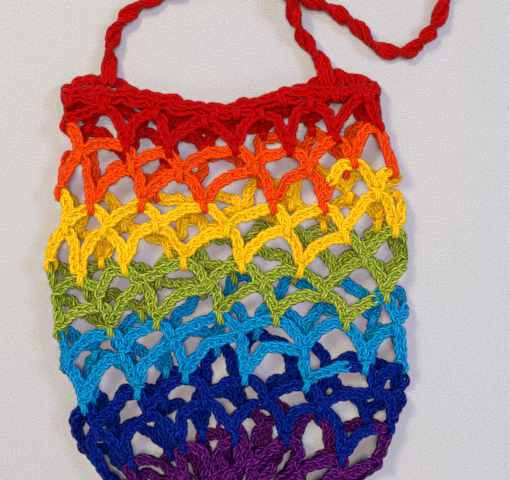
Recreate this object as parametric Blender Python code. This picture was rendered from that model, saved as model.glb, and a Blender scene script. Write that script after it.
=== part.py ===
"""Crochet net bag with a strap, lying flat on its back: metres, +Z up, mouth towards +Y.

The bag is a tube worked in the round. A place on it is (s, v): s runs once round the tube from 0 to 2, the
front from the left fold at 0 to the right fold at 1 and the back from there to 2, and v counts the rounds
down from the rim, whose lower edge is 0. Each round is a ring of chain arches, and the feet of an arch grip
the tops of the arches below.
"""

import math
import random
from collections import namedtuple

import bmesh
import bpy
import numpy as np
from mathutils import Vector, geometry

MM = 0.001

YARN_CHAIN_WIDTH = 5.5
CLOTH_THICKNESS = 3.2
STEM_WIDTH = 4.6
GAP = 0.35
BASE_GAP = 1.0
ARCHES = 14
FOLD_RADIUS = 4.0
BACK_HEIGHT = CLOTH_THICKNESS / 2
MIDDLE_HEIGHT = BACK_HEIGHT + FOLD_RADIUS
FRONT_SWELL = 1.1
ARCH_SEGMENTS = 6
ARCH_ROUNDNESS = 1.7
APEX_DROP = 0.10
UNEVEN_ROUND = 0.035
UNEVEN_BACK = 0.025

# A row for each round's lower edge, in mm: the outline's left and right, the heights from the left fold
# across the front to the right fold and back across the back, and the feet seen on the front.
Level = namedtuple("Level", "left right front_y back_y first feet")
LEVELS = [
    Level(-82, 77, (105, 103, 97, 106, 110), (113, 101, 110.5), 0, ()),
    Level(-82, 78, (98, 94, 89, 97.5, 102), (105, 93, 103), 0, (-61, -34.5, -10, 18.5, 42.5, 70)),
    Level(-82, 80, (88, 78, 77.5, 81.5, 90), (91, 83, 88), 0, (-77, -49, -27, 5, 32.5, 55.5, 73)),
    Level(-83, 84, (74, 64.5, 62, 65, 74), (77.5, 69, 73), 0, (-72.5, -46.5, -23, 15, 43, 65, 80)),
    Level(-85, 88, (55, 49.5, 49.5, 50, 67), (63, 53, 57), 0, (-80, -66, -41.5, -10.5, 24, 49.5, 75)),
    Level(-87, 90, (36, 34.5, 33.5, 40, 52), (50, 42, 43), 0, (-78, -60.5, -34.5, 1, 31, 55, 76)),
    Level(-91, 91, (18, 19, 20, 23, 38), (36, 30, 27.5), 0, (-87, -70, -50, -20.5, 8.5, 37.5, 61, 84)),
    Level(-88, 92, (0, 4.5, 5.5, 3, 20), (24, 19.5, 13), 0, (-82, -62, -42, -7, 18.5, 48, 71)),
    Level(-86, 92, (-15, -10, -6, -9, 6), (11, 8.5, -1), 1, (-80, -57, -34, -2.5, 25.5, 57, 80)),
    Level(-84, 92, (-34, -26.5, -20, -25, -14), (-3, -3, -15), 1, (-76, -50.5, -26, 8, 39.5, 63.5, 82)),
    Level(-80, 91, (-53, -42, -36, -39, -30), (-15, -14.5, -29), 2, (-69, -43.5, -19.5, 10, 40.5, 69, 86)),
    Level(-71, 90, (-73, -59, -52.5, -55, -46), (-31, -31, -44), 2, (-62, -37.5, -9.5, 20, 47, 75)),
    Level(-62, 87, (-87, -75, -67, -74, -63), (-47, -48, -59), 2, (-57, -44, -20.5, 5, 30.5, 58, 81)),
    Level(-53, 73, (-99, -88, -80, -87, -90), (-64, -65, -74), 2, (-46, -29, -8.5, 16.5, 41, 62)),
    Level(-37, 50, (-108, -98, -94, -98, -105), (-88, -84, -88), 2, (-33, -19, -6, 6.5, 18.5, 31, 44)),
    Level(-20, 32, (-114.5,) * 5, (-114.5,) * 3, 2, ()),
]
RIM_TOP, FIRST_LEVEL, BASE_EDGE, BASE_FOLD = -1.0, 0, 13.0, 14.0

# The middle of the bag's outline in the tables' millimetres, which becomes the origin.
MIDDLE_X = 0.5
MIDDLE_Y = -1.5

# A row for each band of one yarn: its first round and how many rounds it has, with its colour.
Band = namedtuple("Band", "name first_round rounds colour")
BANDS = [
    Band("band_red", 0, 1, (0.60, 0.003, 0.004)),
    Band("band_orange", 1, 2, (0.95, 0.10, 0.002)),
    Band("band_yellow", 3, 2, (1.0, 0.60, 0.002)),
    Band("band_green", 5, 2, (0.32, 0.45, 0.015)),
    Band("band_sky", 7, 2, (0.0, 0.30, 0.68)),
    Band("band_blue", 9, 2, (0.002, 0.012, 0.30)),
    Band("band_purple", 11, 2, (0.13, 0.002, 0.19)),
]
RED, PURPLE = BANDS[0].colour, BANDS[-1].colour

STRAP_WIDTH = 8.0
STRAP_STEP = 16.0
# The strap's middle line, in mm, from the left corner of the rim to the right one.
STRAP_ROUTE = [
    (-59.0, 110.8, 4.8),
    (-58.6, 118.5, 4.4),
    (-58.0, 128.0, 4.1),
    (-53.5, 138.5, 4.1),
    (-43.0, 148.0, 4.1),
    (-25.0, 155.5, 4.1),
    (-4.0, 160.0, 4.1),
    (17.0, 159.0, 4.1),
    (36.0, 152.5, 4.1),
    (53.0, 146.0, 4.1),
    (66.0, 137.5, 4.1),
    (77.0, 126.5, 4.1),
    (91.0, 124.0, 4.1),
    (101.0, 131.0, 4.1),
    (108.5, 142.0, 4.1),
    (112.5, 158.0, 4.1),
    (114.0, 180.0, 4.1),
    (109.0, 208.0, 4.1),
    (95.0, 238.0, 4.1),
    (70.0, 264.0, 4.1),
    (34.0, 281.0, 4.1),
    (-6.0, 283.0, 4.1),
    (-36.0, 266.0, 4.1),
    (-46.0, 238.0, 4.1),
    (-32.0, 213.0, 4.1),
    (-6.0, 199.0, 4.1),
    (15.0, 186.0, 4.6),
    (26.0, 172.0, 8.5),
    (31.0, 158.0, 12.9),
    (33.5, 144.0, 9.5),
    (37.0, 132.0, 5.2),
    (43.5, 123.5, 4.4),
    (47.0, 114.9, 4.8),
]


def catmull_rom(before, start, end, after, t):
    """The cubic through start (t 0) and end (t 1) whose slopes aim from before to end and start to after."""
    slope_in = (end - before) / 2
    slope_out = (after - start) / 2
    bend = 3 * (end - start) - 2 * slope_in - slope_out
    twist = 2 * (start - end) + slope_in + slope_out
    return start + slope_in * t + bend * t**2 + twist * t**3


def between_rows(column, v):
    """A column of LEVELS read at any v, smooth from row to row."""
    column = np.asarray(column, float)
    place = np.clip(np.asarray(v, float) - RIM_TOP, 0, len(column) - 1 - 1e-9)
    row = place.astype(int)
    last = len(column) - 1
    picks = [column[np.clip(row + step, 0, last)] for step in (-1, 0, 1, 2)]
    part = place - row
    if column.ndim == 2:
        part = part[..., None]
    return catmull_rom(*picks, part)


LEFT = [level.left + CLOTH_THICKNESS / 2 for level in LEVELS]
RIGHT = [level.right - CLOTH_THICKNESS / 2 for level in LEVELS]
ROUND_Y = [level.front_y + level.back_y for level in LEVELS]


def half_girth(v):
    """How far it is from fold to fold over one side, at v."""
    flat = between_rows(RIGHT, v) - between_rows(LEFT, v) - 2 * FOLD_RADIUS
    return flat + math.pi * FOLD_RADIUS


def bag_point(s, v):
    """The middle of the cloth at (s, v), in mm. Each section is two flat runs joined by round folds."""
    s, v = np.broadcast_arrays(np.asarray(s, float) % 2, np.asarray(v, float))
    front = s <= 1
    left, right = between_rows(LEFT, v), between_rows(RIGHT, v)
    girth = half_girth(v)
    run = np.where(front, s, 2 - s) * girth
    quarter = math.pi * FOLD_RADIUS / 2
    from_left = np.clip(run, 0, quarter) / FOLD_RADIUS
    from_right = np.clip(girth - run, 0, quarter) / FOLD_RADIUS
    turn = np.minimum(from_left, from_right)
    x = np.clip(left + FOLD_RADIUS + run - quarter, left + FOLD_RADIUS, right - FOLD_RADIUS)
    x = x - FOLD_RADIUS * np.cos(from_left) + FOLD_RADIUS * np.cos(from_right)

    stations = between_rows(ROUND_Y, v)
    place = s * 4
    column = place.astype(int) % 8
    rows = np.indices(column.shape)
    picks = [stations[(*rows, (column + step) % 8)] for step in (-1, 0, 1, 2)]
    y = catmull_rom(*picks, place - place.astype(int))

    closing = np.clip((v - BASE_EDGE) / (BASE_FOLD - BASE_EDGE), 0, 1)
    depth = FOLD_RADIUS * np.sin(turn) * np.sqrt(1 - closing**3)
    swell = FRONT_SWELL * np.sin(turn) * (0.5 + 0.3 * np.sin(x / 19 + 1) + 0.2 * np.sin(y / 13 - x / 31))
    z = MIDDLE_HEIGHT + np.where(front, depth + swell * (1 - closing), -depth)
    return np.stack([x - MIDDLE_X, y - MIDDLE_Y, z], -1)


def surface_frame(s, v):
    """The place at (s, v), how it changes with s and with v, and the cloth's outward normal."""
    step = 1e-4
    along_s = (bag_point(s + step, v) - bag_point(s - step, v)) / (2 * step)
    along_v = (bag_point(s, v + step) - bag_point(s, v - step)) / (2 * step)
    normal = np.cross(along_v, along_s)
    normal /= np.linalg.norm(normal, axis=-1, keepdims=True)
    return bag_point(s, v), along_s, along_v, normal


def row_spacing(s, v):
    """Millimetres square to the round for one step of v."""
    _, along_s, along_v, _ = surface_frame(np.array([s]), np.array([v]))
    return float(np.linalg.norm(np.cross(along_s, along_v)[0]) / np.linalg.norm(along_s[0]))


def front_place(v, x):
    """The s of a place on the front, from its x: the cloth runs flat between the two folds."""
    left = float(between_rows(LEFT, v))
    run = x - left - FOLD_RADIUS + math.pi * FOLD_RADIUS / 2
    return float(np.clip(run / half_girth(v), 0.02, 0.98))


def lower_feet(k, i):
    """The numbers of the two feet, one round down, of the arch whose top is held at foot i of level k."""
    first = i if k % 2 == 0 else i - 1
    return first, first + 1


def upper_feet(k, i):
    """The numbers of the two feet, one round up, whose arches stand on foot i of level k."""
    return (i - 1, i) if k % 2 else (i, i + 1)


def settle_feet():
    """The s of each foot. Those on the back lie midway between the feet round them."""
    levels = int(BASE_EDGE) + 1
    places = []
    for k in range(levels):
        level = LEVELS[k + 1]
        seen = [front_place(k, x) for x in level.feet]
        hidden = ARCHES - len(seen)
        step = (seen[0] + 2 - seen[-1]) / (hidden + 1)
        ring = seen + [seen[-1] + step * (n + 1) for n in range(hidden)]
        order = {(level.first + n) % ARCHES: s - 2 * ((level.first + n) // ARCHES) for n, s in enumerate(ring)}
        places.append([order[i] for i in range(ARCHES)])

    def place(k, i):
        return places[k][i % ARCHES] + 2 * (i // ARCHES)

    for _ in range(60):
        for k in range(levels):
            level = LEVELS[k + 1]
            for n in range(len(level.feet), ARCHES):
                i = level.first + n
                near = [place(k, i - 1), place(k, i + 1)]
                if k > 0:
                    near += [place(k - 1, j) for j in upper_feet(k, i)]
                if k < levels - 1:
                    near += [place(k + 1, j) for j in lower_feet(k, i)]
                places[k][i % ARCHES] = sum(near) / len(near) - 2 * (i // ARCHES)

    uneven = random.Random(7)
    for k in range(levels):
        level = LEVELS[k + 1]
        for n in range(len(level.feet), ARCHES):
            places[k][(level.first + n) % ARCHES] += uneven.uniform(-UNEVEN_BACK, UNEVEN_BACK)
    return places


FEET = settle_feet()
HIGH_AND_LOW = random.Random(3)
FEET_V = [[HIGH_AND_LOW.uniform(-UNEVEN_ROUND, UNEVEN_ROUND) for _ in range(ARCHES)] for _ in FEET]
NEW_YARN = [band.first_round for band in BANDS] + [int(BASE_EDGE)]


def foot(k, i):
    """The (s, v) of foot i of level k."""
    return FEET[k][i % ARCHES] + 2 * (i // ARCHES), k + FEET_V[k][i % ARCHES]


def arch_line(k, i):
    """The middle line of the arch held at foot i of level k, and the width at each of its places."""
    top_s, top_v = foot(k, i)
    left, right = (foot(k + 1, j) for j in lower_feet(k, i))
    half = YARN_CHAIN_WIDTH / 2
    if k == FIRST_LEVEL:
        top_v = (half + GAP) / row_spacing(top_s, k + 0.2)
    elif k in NEW_YARN:
        top_v += APEX_DROP

    def foot_end(place):
        s, v = place
        if k + 1 == int(BASE_EDGE):
            return BASE_EDGE - BASE_GAP / row_spacing(s, v - 0.05)
        if k + 1 in NEW_YARN:
            return v + APEX_DROP - (half + GAP) / row_spacing(s, v)
        return v

    t = np.linspace(0, 1, ARCH_SEGMENTS + 1)
    side = np.abs(1 - 2 * t)
    left_end, right_end = foot_end(left), foot_end(right)
    foot_s = np.where(t < 0.5, left[0], right[0])
    foot_v = np.where(t < 0.5, left_end, right_end)
    s = top_s + (foot_s - top_s) * side
    v = top_v + (foot_v - top_v) * side**ARCH_ROUNDNESS
    width = np.full(len(t), YARN_CHAIN_WIDTH)
    width[0] = width[-1] = STEM_WIDTH
    return np.stack([s, v], -1), width


def strand_edges(line, width):
    """The left and right edges, in (s, v), of a strand of that width laid along a middle line."""
    _, along_s, along_v, normal = surface_frame(line[:, 0], line[:, 1])
    step = np.gradient(line, axis=0)
    step[0] = (0, step[0, 1])
    step[-1] = (0, step[-1, 1])
    way = along_s * step[:, :1] + along_v * step[:, 1:]
    across = np.cross(normal, way)
    level = along_s * np.sign(np.sum(along_s * across, -1, keepdims=True))
    across[0], across[-1] = level[0], level[-1]
    across *= width[:, None] / 2 / np.linalg.norm(across, axis=-1, keepdims=True)
    ss, sv, vv = (np.sum(a * b, -1) for a, b in ((along_s, along_s), (along_s, along_v), (along_v, along_v)))
    on_s, on_v = np.sum(across * along_s, -1), np.sum(across * along_v, -1)
    bottom = ss * vv - sv**2
    shift = np.stack([(on_s * vv - on_v * sv) / bottom, (on_v * ss - on_s * sv) / bottom], -1)
    return line + shift, line - shift


def inside_any(points, quads):
    """Which points lie in any of the four-sided faces, each split into two triangles."""
    found = np.zeros(len(points), bool)
    for corners in (quads[:, [0, 1, 2]], quads[:, [0, 2, 3]]):
        sides = []
        for n in range(3):
            start, end = corners[:, n], corners[:, (n + 1) % 3]
            way = end - start
            reach = points[:, None] - start[None]
            sides.append(way[None, :, 0] * reach[..., 1] - way[None, :, 1] * reach[..., 0])
        found |= np.any(np.min(sides, axis=0) > 0, axis=1)
    return found


FLAT_S = 175.0
FLAT_V = 14.5
SEAM_MATCH = 0.004
SAME_PLACE = 0.001


def join_strands(strands):
    """Joins the strands of a band, laid out flat in (s, v), into one sheet of triangles cut at the seam."""
    corners, faces = [], []
    low = min(line[:, 1].min() for line, _ in strands) - 1
    high = max(line[:, 1].max() for line, _ in strands) + 1
    for line, width in strands:
        one, other = strand_edges(line, width)
        for turn in (-2, 0, 2):
            ring = np.concatenate([one, other])
            if ring[:, 0].max() + turn < -0.001 or ring[:, 0].min() + turn > 2.001:
                continue
            start = len(corners)
            corners += [(s + turn, v) for s, v in ring]
            n = len(line)
            faces += [(start + j, start + j + 1, start + n + j + 1, start + n + j) for j in range(n - 1)]
    seam = len(corners)
    corners += [(0, low), (0, high), (2, low), (2, high)]
    flat = [Vector((s * FLAT_S, v * FLAT_V)) for s, v in corners]
    edges = [(seam, seam + 1), (seam + 2, seam + 3)]
    points, _, triangles, _, _, _ = geometry.delaunay_2d_cdt(flat, edges, faces, 1, SAME_PLACE)
    points = np.array([tuple(point) for point in points])
    middles = points[np.array(triangles)].mean(axis=1)
    covered = inside_any(middles, np.array([tuple(corner) for corner in flat])[np.array(faces)])
    covered &= (middles[:, 0] > 0) & (middles[:, 0] < 2 * FLAT_S)
    kept = [triangle for triangle, keep in zip(triangles, covered) if keep]
    return points / (FLAT_S, FLAT_V), kept


def weld_seam(places, triangles):
    """Gives a place at s 2 the number of the same place at s 0, so that the sheet closes into a tube."""
    at_start = {}
    for number, (s, v) in enumerate(places):
        if abs(s) * FLAT_S < SEAM_MATCH:
            at_start[number] = v
    same = {}
    for number, (s, v) in enumerate(places):
        if abs(s - 2) * FLAT_S < SEAM_MATCH and at_start:
            match = min(at_start, key=lambda other: abs(at_start[other] - v))
            if abs(at_start[match] - v) * FLAT_V < 10 * SEAM_MATCH:
                same[number] = match
    welded = [tuple(same.get(c, c) for c in triangle) for triangle in triangles]
    return [triangle for triangle in welded if len(set(triangle)) == 3]


def give_thickness(middle, normal, faces):
    """A closed mesh from a sheet: each corner goes out and in by half the cloth's thickness.

    Nothing goes below the surface that the bag lies on, so the underside is flat where it rests.
    """
    outer = middle + normal * CLOTH_THICKNESS / 2
    inner = middle - normal * CLOTH_THICKNESS / 2
    outer[:, 2] = np.maximum(outer[:, 2], 0)
    n = len(middle)
    edges = {(face[j], face[(j + 1) % len(face)]) for face in faces for j in range(len(face))}
    walls = [(b, a, a + n, b + n) for a, b in edges if (b, a) not in edges]
    solid = faces + [tuple(c + n for c in reversed(face)) for face in faces] + walls
    return np.concatenate([outer, inner]) * MM, solid


def thicken(places, faces):
    """A closed mesh from a sheet that is laid out in (s, v)."""
    used = sorted({c for face in faces for c in face})
    number = {c: n for n, c in enumerate(used)}
    middle, _, _, normal = surface_frame(places[used, 0], places[used, 1])
    return give_thickness(middle, normal, [tuple(number[c] for c in face) for face in faces])


def material(name, colour, roughness=0.85):
    """A dyed cotton yarn."""
    yarn = bpy.data.materials.new(name)
    yarn.use_nodes = True
    shader = yarn.node_tree.nodes["Principled BSDF"]
    shader.inputs["Base Color"].default_value = (*colour, 1)
    shader.inputs["Roughness"].default_value = roughness
    shader.inputs["Metallic"].default_value = 0
    yarn.diffuse_color = (*colour, 1)
    return yarn


def add_solid(name, corners, faces, colour):
    """Puts a closed mesh in the scene with its faces turned outwards."""
    mesh = bpy.data.meshes.new(name)
    mesh.from_pydata([tuple(corner) for corner in corners], [], faces)
    shape = bmesh.new()
    shape.from_mesh(mesh)
    bmesh.ops.recalc_face_normals(shape, faces=shape.faces)
    bmesh.ops.triangulate(shape, faces=shape.faces)
    shape.to_mesh(mesh)
    shape.free()
    mesh.materials.append(material(name, colour))
    piece = bpy.data.objects.new(name, mesh)
    bpy.context.collection.objects.link(piece)
    return piece


def add_band(band):
    """One colour's rounds of chain arches, all round the bag."""
    rounds = range(band.first_round, band.first_round + band.rounds)
    strands = [arch_line(k, i) for k in rounds for i in range(ARCHES)]
    places, triangles = join_strands(strands)
    corners, faces = thicken(places, weld_seam(places, triangles))
    return add_solid(band.name, corners, faces, band.colour)


RIM_COLUMNS = 56
RIM_WAVE = 0.06


def tube_faces(rows, columns):
    """The four-sided faces of a tube whose corners are numbered row by row."""
    return [
        (
            row * columns + column,
            row * columns + (column + 1) % columns,
            (row + 1) * columns + (column + 1) % columns,
            (row + 1) * columns + column,
        )
        for row in range(rows - 1)
        for column in range(columns)
    ]


def add_rim():
    """The dense band of single crochet round the mouth, a little wavy along its top edge."""
    s = np.arange(RIM_COLUMNS) * 2 / RIM_COLUMNS
    top = RIM_TOP + RIM_WAVE * (1 + np.sin(s * math.pi * ARCHES))
    rows = [top, 0 * s + RIM_TOP / 2, 0 * s]
    places = np.stack([np.tile(s, len(rows)), np.concatenate(rows)], -1)
    corners, faces = thicken(places, tube_faces(len(rows), RIM_COLUMNS))
    return add_solid("rim", corners, faces, RED)


BASE_COLUMNS = 20
BASE_ROWS = (0.0, 0.35, 0.65, 0.85, 0.96)


def add_base():
    """The purple disc, folded across the bottom of the bag into a front and a back flap."""
    ring = 2 * BASE_COLUMNS
    s = np.arange(ring) / BASE_COLUMNS
    places = [(place, BASE_EDGE + row) for row in BASE_ROWS for place in s]
    fold = len(places)
    places += [(place, BASE_FOLD) for place in s[: BASE_COLUMNS + 1]]
    middle = bag_point(*np.array(places).T)

    def fold_corner(column):
        column %= ring
        return fold + min(column, ring - column)

    last = fold - ring
    faces = tube_faces(len(BASE_ROWS), ring)
    for column in range(ring):
        following = (column + 1) % ring
        faces.append((last + column, last + following, fold_corner(following), fold_corner(column)))

    mesh = bpy.data.meshes.new("base_sheet")
    mesh.from_pydata([tuple(corner) for corner in middle], [], faces)
    sheet = bmesh.new()
    sheet.from_mesh(mesh)
    bmesh.ops.recalc_face_normals(sheet, faces=sheet.faces)
    bmesh.ops.triangulate(sheet, faces=sheet.faces)
    sheet.normal_update()
    normals = np.array([vertex.normal[:] for vertex in sheet.verts])
    faces = [tuple(vertex.index for vertex in face.verts) for face in sheet.faces]
    sheet.free()
    bpy.data.meshes.remove(mesh)
    corners, faces = give_thickness(middle, normals, faces)
    return add_solid("base", corners, faces, PURPLE)


def smooth_route(route, step):
    """Places about a step apart on a smooth curve through the route's own places."""
    route = np.array(route, float)
    ends = np.concatenate([[2 * route[0] - route[1]], route, [2 * route[-1] - route[-2]]])
    fine = []
    for n in range(len(route) - 1):
        for t in np.arange(0, 1, 0.05):
            fine.append(catmull_rom(*ends[n : n + 4], t))
    fine = np.array(fine + [route[-1]])
    walked = np.concatenate([[0], np.cumsum(np.linalg.norm(np.diff(fine, axis=0), axis=1))])
    wanted = np.linspace(0, walked[-1], round(walked[-1] / step) + 1)
    return np.stack([np.interp(wanted, walked, fine[:, axis]) for axis in range(3)], -1)


def add_strap():
    """The crocheted strap: a round cord's shape along the line in which it lies."""
    curve = bpy.data.curves.new("strap", "CURVE")
    curve.dimensions = "3D"
    curve.bevel_depth = STRAP_WIDTH / 2 * MM
    curve.bevel_resolution = 2
    curve.use_fill_caps = True
    line = curve.splines.new("POLY")
    points = smooth_route(STRAP_ROUTE, STRAP_STEP)
    line.points.add(len(points) - 1)
    for point, place in zip(line.points, points - (MIDDLE_X, MIDDLE_Y, 0)):
        point.co = (*(place * MM), 1)
    curve.materials.append(material("strap", RED))
    strap = bpy.data.objects.new("strap", curve)
    bpy.context.collection.objects.link(strap)
    return strap


def build():
    for leftover in list(bpy.data.objects):
        bpy.data.objects.remove(leftover)
    add_rim()
    for band in BANDS:
        add_band(band)
    add_base()
    add_strap()


build()
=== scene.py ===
import math
from collections import namedtuple

import bpy
import numpy as np
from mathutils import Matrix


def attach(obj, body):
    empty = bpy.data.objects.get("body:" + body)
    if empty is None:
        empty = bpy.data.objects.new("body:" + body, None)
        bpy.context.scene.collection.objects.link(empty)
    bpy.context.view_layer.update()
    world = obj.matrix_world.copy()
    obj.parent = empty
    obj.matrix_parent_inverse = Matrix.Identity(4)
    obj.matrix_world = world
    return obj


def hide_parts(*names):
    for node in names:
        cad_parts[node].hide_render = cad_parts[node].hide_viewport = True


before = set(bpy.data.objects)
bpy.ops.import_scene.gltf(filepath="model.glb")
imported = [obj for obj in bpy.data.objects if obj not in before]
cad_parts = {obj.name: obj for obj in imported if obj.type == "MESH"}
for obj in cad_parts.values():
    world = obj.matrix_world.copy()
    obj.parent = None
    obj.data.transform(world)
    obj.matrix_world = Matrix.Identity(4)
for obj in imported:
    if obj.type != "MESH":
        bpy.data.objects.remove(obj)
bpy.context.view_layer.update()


# The net
# The bag is one tube of chain arches, worked round and round in a spiral from the base up to the rim, in
# cotton yarn that changes colour about every two rounds. Each arch hangs from the foot above it and ends in
# two feet, and each foot grips the top of an arch below with one stitch.

# Sizes are in mm, and MM makes them metres.
MM = 0.001
CLOTH_THICKNESS = 3.2
FOLD_RADIUS = 4.0
MIDDLE_HEIGHT = CLOTH_THICKNESS / 2 + FOLD_RADIUS
# The front's swell at its fullest, the shares of it that are even, in a wave across and in a slanting wave,
# and the mm that each wave takes for one radian.
FRONT_SWELL = 1.1
SWELL_EVEN, SWELL_ACROSS, SWELL_SLANT = 0.5, 0.3, 0.2
ACROSS_X, SLANT_X, SLANT_Y = 19, 31, 13
# Where the mouth's edge, the end of the net and the fold at the bottom are, in rounds from the rim.
RIM_TOP, BASE_EDGE, BASE_FOLD = -1.0, 13.0, 14.0
# Where the middle of the frame is, in the mm of the tables below.
MIDDLE_X, MIDDLE_Y = 0.5, -1.5

# A row for each step of v, in mm: the outline's left and right, and the heights of five stations across the
# front from the left fold to the right one, and of three across the back from right to left.
Level = namedtuple("Level", "left right front_y back_y")
LEVELS = [
    Level(-82, 77, (103.5, 103, 95.5, 104, 102), (104, 92, 100)),
    Level(-82, 78, (95.5, 93, 87.5, 96, 100.5), (97, 85, 93)),
    Level(-82, 80, (86, 75, 74, 76, 87), (86, 80, 80)),
    Level(-83, 87, (71.5, 64, 62.5, 64, 66.5), (67, 64, 63)),
    Level(-85, 90, (52.5, 46, 45.5, 45, 53), (53, 49, 45)),
    Level(-89, 91.5, (34.5, 34.5, 33.5, 32, 34), (39, 38, 30)),
    Level(-90.5, 92, (15, 15, 16.5, 14, 20), (27, 27, 14)),
    Level(-86.5, 92, (-1, 4, 5.5, 2.5, 0.5), (15, 16, 0)),
    Level(-85.5, 91.5, (-18.5, -15, -9.5, -12.5, -18.5), (0, 4, -13)),
    Level(-84, 91.5, (-33.5, -28.5, -19.5, -30, -34), (-18, -9, -26)),
    Level(-80, 91.5, (-53.5, -47.5, -40, -45, -47.5), (-34, -26, -40)),
    Level(-76, 85, (-70, -58, -52.5, -55, -66), (-49, -42, -54)),
    Level(-61, 79, (-90, -75.5, -70.5, -75.5, -83), (-64, -59, -70)),
    Level(-51, 65, (-98, -84.5, -79.5, -85, -94), (-82, -76, -85)),
    Level(-38, 50, (-105, -95, -89, -95, -103), (-98, -91, -99)),
    Level(-20, 32, (-114.5,) * 5, (-114.5,) * 3),
]
STATIONS = 8

# The feet seen on the front, row by row from the left fold: the number of the first, and each place in mm.
# Numbers run on round the back, so the arch from foot n ends in feet n + 13 and n + 14.
FRONT_FEET = [
    (4, ((-61, 0), (-34.5, 0), (-10, 0), (18.5, 0), (42.5, 0), (70.5, 0))),
    (17, ((-81, 86), (-49, 75), (-28, 72.5), (5, 74), (32.5, 73.5), (55.5, 80), (76.5, 86))),
    (31, ((-73, 70.5), (-46.5, 64.5), (-22.5, 61), (15.5, 64), (42, 63.5), (64.5, 67.5), (84, 63.5))),
    (44, ((-83.5, 52.5), (-67, 45), (-41.5, 46), (-10.5, 45.5), (24, 45), (49.5, 45), (76, 51.5))),
    (58, ((-79.5, 34), (-60.5, 33.5), (-34.5, 35), (1, 33.5), (31, 33.5), (60.5, 30), (85, 33.5))),
    (71, ((-87.5, 16.5), (-72, 9), (-50, 14.5), (-20.5, 17.5), (8.5, 15.5), (37.5, 13.5), (69.5, 18))),
    (85, ((-86.5, -1), (-62, -3.5), (-42, 5), (-7, 5.5), (18.5, 5.5), (49.5, 1.5), (80.5, 0.5))),
    (99, ((-85, -17.5), (-57, -17), (-34, -13), (-2.5, -9.5), (25.5, -11), (60.5, -13.5), (85.5, -16))),
    (113, ((-78.5, -32.5), (-50.5, -29.5), (-26, -23.5), (8, -19), (39.5, -27.5), (70, -35), (89.5, -34.5))),
    (127, ((-70, -55), (-43.5, -47.5), (-19.5, -39.5), (10, -40.5), (40.5, -44), (75.5, -47.5))),
    (141, ((-63.5, -68), (-37.5, -58.5), (-9.5, -52.5), (20, -52.5), (47, -55), (82, -65.5))),
    (154, ((-58.5, -92), (-46.5, -82.5), (-21, -74.5), (5, -70.5), (30.5, -71), (58, -81), (76, -82))),
]
# How far the mouth's edge stands up at the back by each corner: where, over how much of s, and by how many
# mm. It is level again after CORNER_FADE rounds.
Corner = namedtuple("Corner", "s reach rise")
CORNERS = [Corner(1.115, 0.115, 12.0), Corner(1.88, 0.115, 11.5)]
CORNER_FADE = 2.2
LEFT_FOOT, RIGHT_FOOT = 13, 14
RIM_FEET = 14
ARCHES = 165
FEET = ARCHES + RIGHT_FOOT
# Before they settle, the feet are spread evenly, with s and v counted from these two numbers.
FEET_A_ROUND = 13.7
FIRST_IN_S, FIRST_IN_V = 2.5, 4
SETTLING_STEPS = 400
# How unevenly the feet that are out of sight lie.
UNEVEN_S, UNEVEN_V = 0.035, 0.15
UNEVEN_SEED = 7


def catmull_rom(before, start, end, after, t):
    """The cubic through start (t 0) and end (t 1) whose slopes aim from before to end and start to after."""
    slope_in = (end - before) / 2
    slope_out = (after - start) / 2
    bend = 3 * (end - start) - 2 * slope_in - slope_out
    twist = 2 * (start - end) + slope_in + slope_out
    return start + slope_in * t + bend * t**2 + twist * t**3


def between_rows(column, v):
    """A column of LEVELS read at any v, smooth from row to row."""
    column = np.asarray(column, float)
    place = np.clip(np.asarray(v, float) - RIM_TOP, 0, len(column) - 1 - 1e-9)
    row = place.astype(int)
    last = len(column) - 1
    picks = [column[np.clip(row + step, 0, last)] for step in (-1, 0, 1, 2)]
    part = place - row
    if column.ndim == 2:
        part = part[..., None]
    return catmull_rom(*picks, part)


LEFT = [level.left + CLOTH_THICKNESS / 2 for level in LEVELS]
RIGHT = [level.right - CLOTH_THICKNESS / 2 for level in LEVELS]
ROUND_Y = [level.front_y + level.back_y for level in LEVELS]


def half_girth(v):
    """How far it is from fold to fold over one side, at v: a flat run and a quarter circle at each end."""
    flat = between_rows(RIGHT, v) - between_rows(LEFT, v) - 2 * FOLD_RADIUS
    return flat + math.pi * FOLD_RADIUS


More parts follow.
